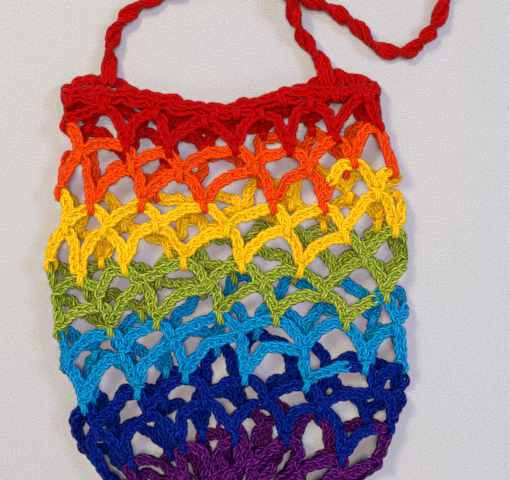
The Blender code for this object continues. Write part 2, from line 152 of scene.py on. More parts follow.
def bag_point(s, v):
    """The middle of the cloth at (s, v), in mm: s goes round from 0 to 2 and v down the rounds from the rim.

    A section across the bag is two flat runs joined by half circles. Its heights pass smoothly through the
    stations, with a bell curve on top at each corner of the mouth. Its depth is the sine of the turn at the
    folds and full between them, and the front has a low swell on top: an even part and two slow sines.
    """
    s, v = np.broadcast_arrays(np.asarray(s, float) % 2, np.asarray(v, float))
    front = s <= 1
    left, right = between_rows(LEFT, v), between_rows(RIGHT, v)
    girth = half_girth(v)
    run = np.where(front, s, 2 - s) * girth
    quarter = math.pi * FOLD_RADIUS / 2
    from_left = np.clip(run, 0, quarter) / FOLD_RADIUS
    from_right = np.clip(girth - run, 0, quarter) / FOLD_RADIUS
    turn = np.minimum(from_left, from_right)
    x = np.clip(left + FOLD_RADIUS + run - quarter, left + FOLD_RADIUS, right - FOLD_RADIUS)
    x = x - FOLD_RADIUS * np.cos(from_left) + FOLD_RADIUS * np.cos(from_right)

    stations = between_rows(ROUND_Y, v)
    place = s * STATIONS / 2
    column = place.astype(int) % STATIONS
    rows = np.indices(column.shape)
    picks = [stations[(*rows, (column + step) % STATIONS)] for step in (-1, 0, 1, 2)]
    y = catmull_rom(*picks, place - place.astype(int))
    rising = np.clip(1 - (v - RIM_TOP) / CORNER_FADE, 0, 1) ** 2
    for corner in CORNERS:
        y = y + corner.rise * rising * np.exp(-(((s - corner.s) / corner.reach) ** 2))

    closing = np.clip((v - BASE_EDGE) / (BASE_FOLD - BASE_EDGE), 0, 1)
    depth = FOLD_RADIUS * np.sin(turn) * np.sqrt(1 - closing**3)
    swell = SWELL_EVEN + SWELL_ACROSS * np.sin(x / ACROSS_X + 1)
    swell = swell + SWELL_SLANT * np.sin(y / SLANT_Y - x / SLANT_X)
    swell = FRONT_SWELL * np.sin(turn) * swell
    z = MIDDLE_HEIGHT + np.where(front, depth + swell * (1 - closing), -depth)
    return np.stack([x - MIDDLE_X, y - MIDDLE_Y, z], -1)


def surface_frame(s, v):
    """The place at (s, v), how it changes with s and with v, and the cloth's outward normal.

    Each change is the difference over a small step either way, and the normal is square to both.
    """
    step = 1e-4
    along_s = (bag_point(s + step, v) - bag_point(s - step, v)) / (2 * step)
    along_v = (bag_point(s, v + step) - bag_point(s, v - step)) / (2 * step)
    normal = np.cross(along_v, along_s)
    normal /= np.linalg.norm(normal, axis=-1, keepdims=True)
    return bag_point(s, v), along_s, along_v, normal


SEARCH_FROM = (0.5, 6.0)
SEARCH_STEPS, SEARCH_SHARE = 60, 0.7
FRONT_S = (0.02, 0.98)


def front_place(x, y):
    """The (s, v) of a place on the front, from its mm: each step takes a share off the height missing."""
    s, v = SEARCH_FROM
    for _ in range(SEARCH_STEPS):
        run = x - between_rows(LEFT, v) - FOLD_RADIUS + math.pi * FOLD_RADIUS / 2
        s = float(np.clip(run / half_girth(v), *FRONT_S))
        place, _, along_v, _ = surface_frame(np.array([s]), np.array([v]))
        missing = y - MIDDLE_Y - place[0, 1]
        v = float(np.clip(v + SEARCH_SHARE * missing / along_v[0, 1], 0, BASE_EDGE))
    return s, v


def settle_feet():
    """The (s, v) of each foot, with s running on from turn to turn.

    The feet at the rim and at the base stay on their edges, those on the front are where the table has them,
    and each of the rest settles in the middle of the feet beside it and of the four above and below, and then
    lies a little off that place.
    """
    number = np.arange(FEET)
    s = 2 * (number - FIRST_IN_S) / FEET_A_ROUND
    v = np.clip((number - FIRST_IN_V) / FEET_A_ROUND, 0, BASE_EDGE)
    held_s, held_v = np.zeros(FEET, bool), np.zeros(FEET, bool)
    for turn, (first, places) in enumerate(FRONT_FEET):
        for n, (x, y) in enumerate(places, first):
            if turn == 0:
                run = x - LEFT[1] - FOLD_RADIUS + math.pi * FOLD_RADIUS / 2
                s[n] = run / float(half_girth(0.0))
            else:
                around, v[n] = front_place(x, y)
                s[n] = around + 2 * turn
            held_s[n] = held_v[n] = True
    v[:RIM_FEET] = 0
    v[ARCHES:] = BASE_EDGE
    held_v[:RIM_FEET] = held_v[ARCHES:] = True
    steps = [(-1, 0), (1, 0), (LEFT_FOOT, 1), (RIGHT_FOOT, 1), (-LEFT_FOOT, -1), (-RIGHT_FOOT, -1)]
    for _ in range(SETTLING_STEPS):
        total_s, total_v, count = np.zeros(FEET), np.zeros(FEET), np.zeros(FEET)
        for step, down in steps:
            other = number + step
            there = (other >= 0) & (other < FEET)
            other = np.clip(other, 0, FEET - 1)
            total_s += np.where(there, s[other] - 2 * down, 0)
            total_v += np.where(there, v[other] - down, 0)
            count += there
        s = np.where(held_s, s, total_s / count)
        v = np.where(held_v, v, np.clip(total_v / count, 0, BASE_EDGE))
    uneven = np.random.default_rng(UNEVEN_SEED).uniform(-1, 1, (2, FEET))
    s = s + np.where(held_s, 0, UNEVEN_S * uneven[0])
    return s, v + np.where(held_v, 0, UNEVEN_V * uneven[1])


FOOT_S, FOOT_V = settle_feet()

YARN = 2.45
CHAIN_WIDTH = 7.0
STITCH = 4.3
# The lower arches of the bag hang rounder than the upper ones.
ROUNDNESS_AT_RIM, ROUNDNESS_AT_BASE = 2.1, 2.75
ARCH_UNEVEN = 0.4
ARCH_SEED = 300
# How far above its foot the chain of an arch ends.
KNOT_ABOVE = 2.7
ARCH_POINTS = 33


def arch_line(n):
    """The middle line of arch n in (s, v), from its left foot over its top to its right foot.

    From the top, s goes evenly to each foot, and v falls as the part covered to the power of the roundness.
    """
    t = np.linspace(0, 1, ARCH_POINTS)
    side = np.abs(1 - 2 * t)
    left, right = n + LEFT_FOOT, n + RIGHT_FOOT
    foot_s = np.where(t < 0.5, FOOT_S[left], FOOT_S[right]) - 2
    foot_v = np.where(t < 0.5, FOOT_V[left], FOOT_V[right])
    spacing = row_spacing(foot_s, foot_v)
    top_s, top_v = FOOT_S[n], FOOT_V[n]
    s = top_s + (foot_s - top_s) * side
    down = top_v / BASE_EDGE
    roundness = ROUNDNESS_AT_RIM + (ROUNDNESS_AT_BASE - ROUNDNESS_AT_RIM) * down
    roundness += np.random.default_rng(ARCH_SEED + n).uniform(-ARCH_UNEVEN, ARCH_UNEVEN)
    v = top_v + (foot_v - KNOT_ABOVE / spacing - top_v) * side**roundness
    return np.stack([s, v], -1)


def row_spacing(s, v):
    """The mm square to the round for one step of v: the area of a step of s by one of v, over that of s."""
    _, along_s, along_v, _ = surface_frame(s, v)
    return np.linalg.norm(np.cross(along_s, along_v), axis=-1) / np.linalg.norm(along_s, axis=-1)


def walked(line):
    """How far along a line each of its points is."""
    return np.concatenate([[0], np.cumsum(np.linalg.norm(np.diff(line, axis=0), axis=1))])


def evenly(line, step, softness=0.0):
    """The line read again about every step, then averaged with a bell curve as wide as the softness."""
    along = walked(line)
    wanted = np.linspace(0, along[-1], max(int(along[-1] / step), 2) + 1)
    even = np.stack([np.interp(wanted, along, line[:, axis]) for axis in range(line.shape[1])], -1)
    if softness:
        reach = int(3 * softness / step)
        bell = np.exp(-0.5 * (np.arange(-reach, reach + 1) * step / softness) ** 2)
        bell /= bell.sum()
        padded = np.concatenate([
            2 * even[:1] - even[reach:0:-1], even, 2 * even[-1:] - even[-2:-reach - 2:-1],
        ])
        even = np.stack([np.convolve(padded[:, axis], bell, "valid") for axis in range(line.shape[1])], -1)
    return even


def unit(vectors):
    """Each vector, one long."""
    return vectors / np.maximum(np.linalg.norm(vectors, axis=-1, keepdims=True), 1e-12)


# The places that the yarn of one stitch passes: along in stitches, across in parts of half the chain's width,
# and up in mm. It comes up from below, lies out as one leg, turns under the stitch ahead, comes back as the
# other leg, and runs on below to where the next one starts.
Bend = namedtuple("Bend", "along across up")
STITCH_BENDS = [
    Bend(0.08, 0.20, -0.30), Bend(0.58, 0.82, 0.62), Bend(1.23, 0.85, 0.35), Bend(1.53, 0.00, -0.50),
    Bend(1.23, -0.85, 0.35), Bend(0.58, -0.82, 0.62), Bend(0.08, -0.20, -0.30), Bend(0.50, 0.00, -1.00),
]
BEND_POINTS = 3
BEND_UNEVEN = Bend(0.07, 0.13, 0.22)


def chain(line, normal, stitch=STITCH, width=CHAIN_WIDTH, yarn=YARN, turn=0.0):
    """The path of one yarn worked as a crochet chain along a line, and which way is out at each point.

    A smooth curve runs through the bends of every stitch in turn, each a little off its place. Its along is
    a place on the line, its across goes to the side by that part of half the width less the yarn, and its up
    goes out of the line. The turn, in radians, tips the chain over round its line.
    """
    along = walked(line)
    count = max(int(round(along[-1] / stitch)), 1)
    bends = np.array(STITCH_BENDS)
    size = len(bends)
    uneven = np.random.default_rng(count).uniform(-1, 1, (count + 2, size, 3)) * BEND_UNEVEN
    every = (bends + uneven + np.arange(-1, count + 1)[:, None, None] * (1, 0, 0)).reshape(-1, 3)
    picks = [every[size + step : size + step + count * size, None] for step in (-1, 0, 1, 2)]
    loops = catmull_rom(*picks, np.arange(BEND_POINTS)[:, None] / BEND_POINTS).reshape(-1, 3)
    place = loops[:, 0] * along[-1] / count
    across = loops[:, 1] * (width - yarn) / 2
    up = loops[:, 2]

    tangent = unit(np.gradient(line, axis=0))
    out = unit(normal - tangent * np.sum(normal * tangent, -1, keepdims=True))
    aside = np.cross(out, tangent)
    inside = np.clip(place, 0, along[-1])
    over = (place - inside)[:, None]

    def read(values):
        return np.stack([np.interp(inside, along, values[:, axis]) for axis in range(3)], -1)

    angle = np.interp(inside, along, np.broadcast_to(turn, len(along)))[:, None]
    here, ahead = read(line), unit(read(tangent))
    out, aside = unit(read(out)), unit(read(aside))
    out, aside = out * np.cos(angle) + aside * np.sin(angle), aside * np.cos(angle) - out * np.sin(angle)
    return here + ahead * over + aside * across[:, None] + out * up[:, None], out


WAVE_PARTS = (1.0, 0.61, 0.37)
FULL_TURN = 6.28
WAVE_SIZE = 1.6


def slow_wave(length, seed, wave, size):
    """A smooth uneven swing along a length: three sines of random phase, the longest one wave long."""
    rng = np.random.default_rng(seed)
    total = np.zeros(len(length))
    for part in WAVE_PARTS:
        phase = rng.uniform(0, FULL_TURN)
        total += math.sqrt(part) * np.sin(2 * math.pi * length / (wave * part) + phase)
    return size * total / WAVE_SIZE


SIDES = 7
# The shares of the full radius at the end of an open yarn and next to it.
END_RADIUS, NEXT_RADIUS = 0.35, 0.85
FLOOR_GAP = 0.02
# The yarns of a piece take their grain from places in the skein this far apart.
SKEIN_STEP = 0.618


def spin(name, yarns, material, thickness=YARN):
    """One mesh of round yarns, each a path in mm with its outward directions, closed where it is a ring.

    A ring of the tube is the path's point plus the radius times the cosine of the angle round it to the side
    and the sine of it outwards. A path that would sink into the floor lies on it, and an open one tapers at
    its ends. The UV map holds the millimetres along the yarn and the part of a turn round.
    """
    points, quads, caps, uvs, outwards, skeins = [], [], [], [], [], []
    start = 0
    angle = np.arange(SIDES) * 2 * math.pi / SIDES
    around = np.arange(SIDES + 1) / SIDES
    for number, (path, out, closed) in enumerate(yarns):
        radius = np.full(len(path), thickness / 2)
        path = path.copy()
        path[:, 2] = np.maximum(path[:, 2], thickness / 2 + FLOOR_GAP)
        if closed:
            ahead = unit(np.roll(path, -1, axis=0) - np.roll(path, 1, axis=0))
        else:
            ahead = unit(np.gradient(path, axis=0))
            radius[[0, -1]] *= END_RADIUS
            radius[[1, -2]] *= NEXT_RADIUS
        side = unit(np.cross(ahead, out))
        lift = np.cross(side, ahead)
        circle = side[:, None] * np.cos(angle)[None, :, None] + lift[:, None] * np.sin(angle)[None, :, None]
        tube = path[:, None] + radius[:, None, None] * circle
        n = len(path)
        points.append(tube.reshape(-1, 3))
        outwards.append(np.broadcast_to(np.sin(angle), (n, SIDES)).ravel())
        skeins.append(np.full(n * SIDES, (number * SKEIN_STEP) % 1.0))
        row = np.arange(n if closed else n - 1)[:, None]
        column = np.arange(SIDES)[None, :]
        here, there = start + (row % n) * SIDES, start + ((row + 1) % n) * SIDES
        nearby = (column + 1) % SIDES
        corners = [here + column, there + column, there + nearby, here + nearby]
        quads.append(np.stack(corners, -1).reshape(-1, 4))
        along = np.append(walked(path), walked(path)[-1] + np.linalg.norm(path[0] - path[-1]))
        u = np.stack([along[row], along[row + 1], along[row + 1], along[row]], -1)
        u = np.broadcast_to(u, (len(row), SIDES, 4))
        w = np.stack([around[column], around[column], around[column + 1], around[column + 1]], -1)
        w = np.broadcast_to(w, (len(row), SIDES, 4))
        uvs.append(np.stack([u, w], -1).reshape(-1, 2))
        if not closed:
            last = start + (n - 1) * SIDES
            caps += [tuple(range(start, start + SIDES)), tuple(range(last + SIDES - 1, last - 1, -1))]
        start += n * SIDES
    quads, points = np.concatenate(quads), np.concatenate(points)
    mesh = bpy.data.meshes.new(name)
    mesh.from_pydata(points * MM, [], quads.tolist() + caps)
    layer = mesh.uv_layers.new(name="yarn")
    flat = np.zeros((len(mesh.loops), 2))
    flat[: len(quads) * 4] = np.concatenate(uvs)
    layer.data.foreach_set("uv", flat.ravel())
    for label, values in (("outward", outwards), ("skein", skeins)):
        attribute = mesh.attributes.new(label, "FLOAT", "POINT")
        attribute.data.foreach_set("value", np.concatenate(values).astype(np.float32))
    mesh.shade_smooth()
    mesh.materials.append(material)
    piece = bpy.data.objects.new(name, mesh)
    bpy.context.scene.collection.objects.link(piece)
    return piece


PLIES = 4
# The mm along the yarn in which its plies go round once.
PLY_TURN = 13.0
# Under 1, this leaves each ply a broad ridge and a narrow groove.
GROOVE_POWER = 0.65
FIBRES_ALONG, FIBRES_ROUND = 0.35, 16.0
SKEIN_APART = 31.0
# What the plies, the fibres and the open side of the yarn add to its tone, and what comes off the whole.
# The plies paint shade in the grooves and a highlight on the ridges, the fibres add random tone and fine
# painted glints, and the yarn gets painted shade on its sides, where it lies against its neighbours.
PLY_TONE, FIBRE_TONE, SIDE_SHADE_TONE = 0.52, 0.85, 0.26
TONE_OFF = 0.40
SIDE_REACH = 1.2
PLY_HEIGHT, FIBRE_HEIGHT = 0.75, 0.60


def plied_cotton():
    """The node group for plied cotton: a tone that is low in the grooves between the plies, and a height.

    The plies are the sine of the number of plies times the part of a turn round, run on by the millimetres
    along the yarn, so the tone paints shade in the grooves and a highlight on the ridges. The fibres are
    noise drawn out along the same twist, random tone that also paints fine glints. The tone also falls on the
    sides of the yarn, where it lies against its neighbours, as painted shade.
    """
    group = bpy.data.node_groups.new("plied cotton", "ShaderNodeTree")
    group.interface.new_socket("Tone", in_out="OUTPUT", socket_type="NodeSocketFloat")
    group.interface.new_socket("Height", in_out="OUTPUT", socket_type="NodeSocketFloat")
    nodes, links = group.nodes, group.links

    def maths(operation, first, second=None):
        made = nodes.new("ShaderNodeMath")
        made.operation = operation
        for slot, value in enumerate((first, second)):
            if isinstance(value, (int, float)):
                made.inputs[slot].default_value = value
            elif value is not None:
                links.new(value, made.inputs[slot])
        return made.outputs[0]

    output = nodes.new("NodeGroupOutput")
    uv = nodes.new("ShaderNodeUVMap")
    uv.uv_map = "yarn"
    split = nodes.new("ShaderNodeSeparateXYZ")
    links.new(uv.outputs[0], split.inputs[0])
    along, around = split.outputs[0], split.outputs[1]
    skein = nodes.new("ShaderNodeAttribute")
    skein.attribute_name = "skein"
    twisted = maths("ADD", around, maths("DIVIDE", along, PLY_TURN))
    # Painted shade in the grooves between the plies and a painted highlight on their ridges.
    ply = maths("ABSOLUTE", maths("SINE", maths("MULTIPLY", twisted, PLIES * math.pi)))
    ridge = maths("POWER", ply, GROOVE_POWER)
    place = nodes.new("ShaderNodeCombineXYZ")
    links.new(maths("MULTIPLY", along, FIBRES_ALONG), place.inputs[0])
    links.new(maths("MULTIPLY", twisted, FIBRES_ROUND), place.inputs[1])
    links.new(maths("MULTIPLY", skein.outputs["Fac"], SKEIN_APART), place.inputs[2])
    fibres = nodes.new("ShaderNodeTexNoise")
    fibres.inputs["Scale"].default_value = 1.0
    fibres.inputs["Detail"].default_value = 2.0
    fibres.inputs["Roughness"].default_value = 0.6
    links.new(place.outputs[0], fibres.inputs["Vector"])
    fibre = fibres.outputs[0]
    # Painted shade on the sides of the yarn, where it lies against its neighbours.
    outward = nodes.new("ShaderNodeAttribute")
    outward.attribute_name = "outward"
    from_side = maths("ABSOLUTE", outward.outputs["Fac"])
    side_shade_mask = maths("MINIMUM", maths("MULTIPLY", from_side, SIDE_REACH), 1.0)
    twisted_tone = maths("ADD", maths("MULTIPLY", ridge, PLY_TONE), maths("MULTIPLY", fibre, FIBRE_TONE))
    tone = maths("ADD", maths("MULTIPLY", side_shade_mask, SIDE_SHADE_TONE), maths("SUBTRACT", twisted_tone, TONE_OFF))
    height = maths("ADD", maths("MULTIPLY", ridge, PLY_HEIGHT), maths("MULTIPLY", fibre, FIBRE_HEIGHT))
    links.new(tone, output.inputs["Tone"])
    links.new(height, output.inputs["Height"])
    return group


PLIED = plied_cotton()
# The tones at which a yarn has its deep colour, which is painted shade, its plain one, and its light colour,
# which is a painted highlight.
SHADE_AT, PLAIN_AT, HIGHLIGHT_AT = 0.33, 0.66, 0.95
# How much of the gloss, and of the light that comes out of the yarn, is white and how much is dyed.
GLOSS_WHITE, GLOSS_DYED = 0.18, 0.82
GLOW_WHITE, GLOW_DYED = 0.15, 0.85


def cotton(name, deep, plain, light):
    """A dyed cotton yarn: painted shade in its grooves, plain over most of it, a painted highlight on each
    ply.
    """
    material = bpy.data.materials.new(name)
    material.use_nodes = True
    nodes, links = material.node_tree.nodes, material.node_tree.links
    shader = nodes["Principled BSDF"]
    plied = nodes.new("ShaderNodeGroup")
    plied.node_tree = PLIED
    # The deep colour is painted shade and the light one a painted highlight, both picked by the tone.
    ramp = nodes.new("ShaderNodeValToRGB")
    ramp.color_ramp.elements[0].position = SHADE_AT
    ramp.color_ramp.elements[0].color = (*deep, 1)
    ramp.color_ramp.elements[1].position = HIGHLIGHT_AT
    ramp.color_ramp.elements[1].color = (*light, 1)
    middle = ramp.color_ramp.elements.new(PLAIN_AT)
    middle.color = (*plain, 1)
    links.new(plied.outputs["Tone"], ramp.inputs[0])
    links.new(ramp.outputs[0], shader.inputs["Base Color"])
    bump = nodes.new("ShaderNodeBump")
    bump.inputs["Strength"].default_value = 0.95
    bump.inputs["Distance"].default_value = 0.45 * MM
    links.new(plied.outputs["Height"], bump.inputs["Height"])
    links.new(bump.outputs[0], shader.inputs["Normal"])
    shader.inputs["Roughness"].default_value = 0.40
    shader.inputs["Specular IOR Level"].default_value = 0.26
    gloss = [GLOSS_WHITE + GLOSS_DYED * part for part in light]
    shader.inputs["Specular Tint"].default_value = (*gloss, 1)
    shader.inputs["Subsurface Weight"].default_value = 0.12
    shader.inputs["Subsurface Radius"].default_value = [GLOW_WHITE + GLOW_DYED * part for part in light]
    shader.inputs["Subsurface Scale"].default_value = 1.6 * MM
    material.diffuse_color = (*plain, 1)
    return material


# A row for each yarn: the arch and the part of it at which it is tied in, and its colour in the grooves,
# which is painted shade, plain, and on the ridges, which is a painted highlight.
Band = namedtuple("Band", "name slot begins deep plain light")
BANDS = [
    Band("band_red", "yarn_red", 0, (0.24, 0.0, 0.0), (0.53, 0.0, 0.0), (0.74, 0.0, 0.002)),
    Band("band_orange", "yarn_orange", 17.0, (0.58, 0.010, 0.0), (0.95, 0.045, 0.0), (1.0, 0.18, 0.002)),
    Band("band_yellow", "yarn_yellow", 36.1, (0.82, 0.28, 0.0), (1.0, 0.58, 0.0), (1.0, 0.80, 0.015)),
    Band("band_green", "yarn_green", 63.5, (0.03, 0.048, 0.0), (0.25, 0.35, 0.006), (0.76, 0.84, 0.17)),
    Band("band_sky", "yarn_sky", 91.35, (0.0, 0.028, 0.15), (0.0, 0.245, 0.60), (0.0, 0.57, 0.96)),
    Band("band_blue", "yarn_blue", 118.33, (0.0, 0.0, 0.032), (0.0, 0.0, 0.145), (0.0, 0.07, 0.58)),
    Band("band_purple", "yarn_purple", 146.3, (0.001, 0.0, 0.005), (0.021, 0.0, 0.050), (0.40, 0.026, 0.46)),
]
COTTON = {band.slot: cotton(band.slot, band.deep, band.plain, band.light) for band in BANDS}
RING_POINTS = 12
FOOT_SEED = 500
FOOT_LEAN = 0.35
# The stitch of a foot: half its height and depth, how far off the middle its two strands are above and below,
# and how far up from the foot's place it sits.
GRIP_TALL, GRIP_UNEVEN = 3.1, 0.35
GRIP_DEEP = 3.0
GRIP_APART = (0.55, 0.85)
GRIP_UP = 0.3
GRIP_YARN = 2.2
# The knot over it: half its width and depth, how far up it sits, and how far its ends may tilt.
KNOT_WIDE = 2.1
KNOT_DEEP = 2.3
KNOT_UP = 2.9
KNOT_TILT = 1.3


def leaning(s, v, lean):
    """The place at (s, v), and the ways to the side, down the cloth and out of it, the first two turned."""
    place, along_s, along_v, out = (part[0] for part in surface_frame(np.array([s]), np.array([v])))
    side = unit(along_s)
    down = unit(along_v - side * (along_v @ side))
    turned_side = side * math.cos(lean) + down * math.sin(lean)
    turned_down = down * math.cos(lean) - side * math.sin(lean)
    return place, turned_side, turned_down, out


def ring(middle, tall_way, tall, out, deep, aside):
    """A closed strand, with its outward directions.

    It is the middle, plus tall times the cosine of the angle one way, deep times the sine outwards, and the
    shift aside that goes with that cosine.
    """
    a = np.linspace(0, 2 * math.pi, RING_POINTS, endpoint=False)[:, None]
    path = middle + tall_way * tall * np.cos(a) + out * deep * np.sin(a) + aside(np.cos(a))
    return path, unit(out * np.sin(a) + tall_way * np.cos(a)), True


def foot_stitch(foot):
    """The stitch with which a foot grips the arch below: two upright rings round its chain, and a knot."""
    uneven = np.random.default_rng(FOOT_SEED + foot).uniform(-1, 1, 3)
    place, side, down, out = leaning(FOOT_S[foot], FOOT_V[foot], FOOT_LEAN * uneven[0])
    near, far = GRIP_APART
    strands = []
    for way in (-1, 1):
        strands.append(ring(
            place - down * GRIP_UP, down, GRIP_TALL + GRIP_UNEVEN * uneven[1], out, GRIP_DEEP,
            lambda low, way=way: side * way * (near + (far - near) * (1 + low) / 2),
        ))
    strands.append(ring(
        place - down * KNOT_UP, side, KNOT_WIDE, out, KNOT_DEEP,
        lambda across: down * KNOT_TILT * uneven[2] * across,
    ))
    return strands


# A line is read again about every LINE_STEP mm. The directions that go with it are made FAINT for that, so
# that they hardly add to its length.
LINE_STEP = 0.6
FAINT = 1e-3
ARCH_SOFTNESS = 1.5


def net_line(begin, end):
    """The middle line of arches joined end to end, in mm, its outward normal, and where it is on the front.

    The whole part of the begin and of the end is an arch's number, and the rest is the part of that arch
    before it.
    """
    lines = [arch_line(n) for n in range(int(begin), math.ceil(end))]
    last = len(lines[0]) - 1
    kept = int(round(last * (end - math.ceil(end) + 1)))
    lines[-1] = lines[-1][: kept + 1]
    lines[0] = lines[0][int(round(last * (begin % 1))):]
    line = np.concatenate(lines)
    place, _, _, out = surface_frame(line[:, 0], line[:, 1])
    front = np.sin(math.pi * line[:, :1]) > 0
    both = evenly(np.concatenate([place, out * FAINT, front * FAINT], axis=1), LINE_STEP, ARCH_SOFTNESS)
    return both[:, :3], unit(both[:, 3:6]), both[:, 6] != 0


def arch_drop(first, last):
    """How far it is on average down the cloth, in mm, from the top of an arch to its two feet."""
    n = np.arange(first, last)
    above = FOOT_V[n]
    below = (FOOT_V[n + LEFT_FOOT] + FOOT_V[n + RIGHT_FOOT]) / 2
    return float(np.mean((below - above) * row_spacing(FOOT_S[n], (above + below) / 2)))


# The chains wander to the side by these mm and tip over by these radians, in slow waves. Near the ends of a
# strip they lie straight, so that each strip meets the next.
WANDER_FRONT, WANDER_BACK = 0.7, 1.5
WANDER_WAVE = 27.0
CHAIN_TURN = 0.5
TURN_WAVE = 80.0
JOIN_STRAIGHT = 9.0
# Opened flat, each arch is as long as where the bag is widest, and a round laps its neighbours by its chains.
WIDEST_V = 5.0
ARCH_LONG = 2 * float(half_girth(WIDEST_V)) / RIM_FEET
ROUND_LAP = 7.0
# Each strip of the net, with its flat size and the pieces that go with it.
WORKED = []

for band, ends in zip(BANDS, [following.begins for following in BANDS[1:]] + [ARCHES]):
    first, last = int(band.begins), int(ends)
    parts = math.ceil((last - first) / RIM_FEET)
    cuts = [first + (last - first) * part // parts for part in range(1, parts)]
    feet = range(first + RIGHT_FOOT, last + RIGHT_FOOT)
    strands = [strand for foot in feet for strand in foot_stitch(foot)]
    pieces = [spin(band.name + "_feet", strands, COTTON[band.slot], GRIP_YARN)]
    for number, (begin, end) in enumerate(zip([band.begins] + cuts, cuts + [ends]), 1):
        line, out, front = net_line(begin, end)
        along = walked(line)
        ahead = unit(np.gradient(line, axis=0))
        inside = np.clip(np.minimum(along, along[-1] - along) / JOIN_STRAIGHT, 0, 1)
        wander = slow_wave(along, int(begin) + 1, WANDER_WAVE, 1.0)
        wander = wander * np.where(front, WANDER_FRONT, WANDER_BACK)
        line = line + np.cross(out, ahead) * (inside * wander)[:, None]
        turn = slow_wave(along, int(begin) + 2, TURN_WAVE, CHAIN_TURN) * inside
        path, outward = chain(line, out, turn=turn)
        pieces.append(spin(f"{band.name}_arches_{number}", [(path, outward, False)], COTTON[band.slot]))
        flat_long = (end - begin) * ARCH_LONG
        flat_deep = arch_drop(int(begin), int(end)) + ROUND_LAP
        WORKED.append([pieces[-1], (flat_long * MM, flat_deep * MM)])
    WORKED[-1].append(pieces[0])
    for piece in pieces:
        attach(piece, "root")
        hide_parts(band.name)


# The base
# A dense flat disc of tall stitches in the purple yarn, which the maker began with. The bag lies folded
# across it, so half of it is on the front and half on the back, with its stitches fanning out from the fold.

BASE_POSTS = 13
BASE_YARN, BASE_WIDTH, BASE_STITCH = 2.6, 7.0, 5.6
BASE_OUT = 1.0
# The stitches at the middle reach up into the net: by how many rounds, at which s, and over how much of it.
MIDDLE_REACH, REACH_S, REACH_WIDTH = 1.75, 0.52, 0.2
# How far each stitch laps the net and how near it comes to the fold, in rounds.
NET_LAP, FOLD_GAP = 0.15, 0.02
BASE_UNEVEN = 0.2
SIDE_POINTS = 30
BASE_SOFTNESS = 1.2
BASE_WANDER, BASE_WANDER_WAVE = 2.0, 26.0
BASE_TURN, BASE_TURN_WAVE = 0.6, 50.0
BASE_SEED, BASE_WANDER_SEED, BASE_TURN_SEED = 700, 60, 40

for_base = []
for post in range(BASE_POSTS):
    uneven = np.random.default_rng(BASE_SEED + post).uniform(-1, 1, 3)
    s = (post + 0.5 + BASE_UNEVEN * uneven[0]) / BASE_POSTS
    reach = MIDDLE_REACH * math.exp(-(((s - REACH_S) / REACH_WIDTH) ** 2))
    top_v = BASE_EDGE - NET_LAP - reach + BASE_UNEVEN * uneven[1]
    side_v = np.linspace(top_v, BASE_FOLD - FOLD_GAP, SIDE_POINTS)
    post_s = np.concatenate([np.full(SIDE_POINTS, s), np.full(SIDE_POINTS, 2 - s)])
    place, _, _, out = surface_frame(post_s, np.concatenate([side_v, side_v[::-1]]))
    both = evenly(np.concatenate([place, out * FAINT], axis=1), LINE_STEP, BASE_SOFTNESS)
    line, out = both[:, :3], unit(both[:, 3:])
    along = walked(line)
    wander = slow_wave(along, BASE_WANDER_SEED + post, BASE_WANDER_WAVE, BASE_WANDER)
    line = line + np.array([1.0, 0.0, 0.0]) * wander[:, None] + out * BASE_OUT
    turn = slow_wave(along, BASE_TURN_SEED + post, BASE_TURN_WAVE, BASE_TURN)
    path, outward = chain(line, out, turn=turn, width=BASE_WIDTH, stitch=BASE_STITCH, yarn=BASE_YARN)
    for_base.append((path, outward, False))
base = spin("base_yarn", for_base, COTTON["yarn_purple"], BASE_YARN)
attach(base, "root")
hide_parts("base")
WORKED[-1].append(base)


# The rim
# The mouth is edged in red with short tight stitches, which stand side by side on the first round of arches,
# and the braid of their tops makes the edge.

# The chains of the braid: each one's v, how far out it lies, its stitch and width, how far it swings to the
# side, how far it leans over in radians, and its seed.
EdgeRow = namedtuple("EdgeRow", "v out stitch width swing lean seed")
EDGE_ROWS = [
    EdgeRow(-0.80, 0.9, 5.8, 5.9, 0.9, 0.3, 5),
    EdgeRow(-0.40, 0.2, 6.6, 5.6, 1.3, -0.2, 25),
]
EDGE_POINTS = 500
EDGE_SOFTNESS = 1.0
SWING_WAVE = 19.0
EDGE_TURN, EDGE_TURN_WAVE = 0.35, 40.0
# The posts: how far apart their places are, the share of the places that have one, and where on the mouth all
# of them do, at its right corner.
POST_STEP = 4.7
POST_SHARE = 0.3
THICK_POSTS = (0.84, 1.2)
# How tall and deep half a post is, where it stands and how it leans, each with how uneven it is.
POST_TALL, TALL_UNEVEN = 2.8, 0.6
POST_DEEP = 1.6
STEP_UNEVEN = 0.25
POST_V, V_UNEVEN = -0.46, 0.12
POST_LEAN, LEAN_UNEVEN = 0.15, 0.5
# How far off the middle the two strands of a post are, and how much less it is below and more above.
POST_APART, POST_NARROWS = 1.2, 0.7
POST_SEED = 900

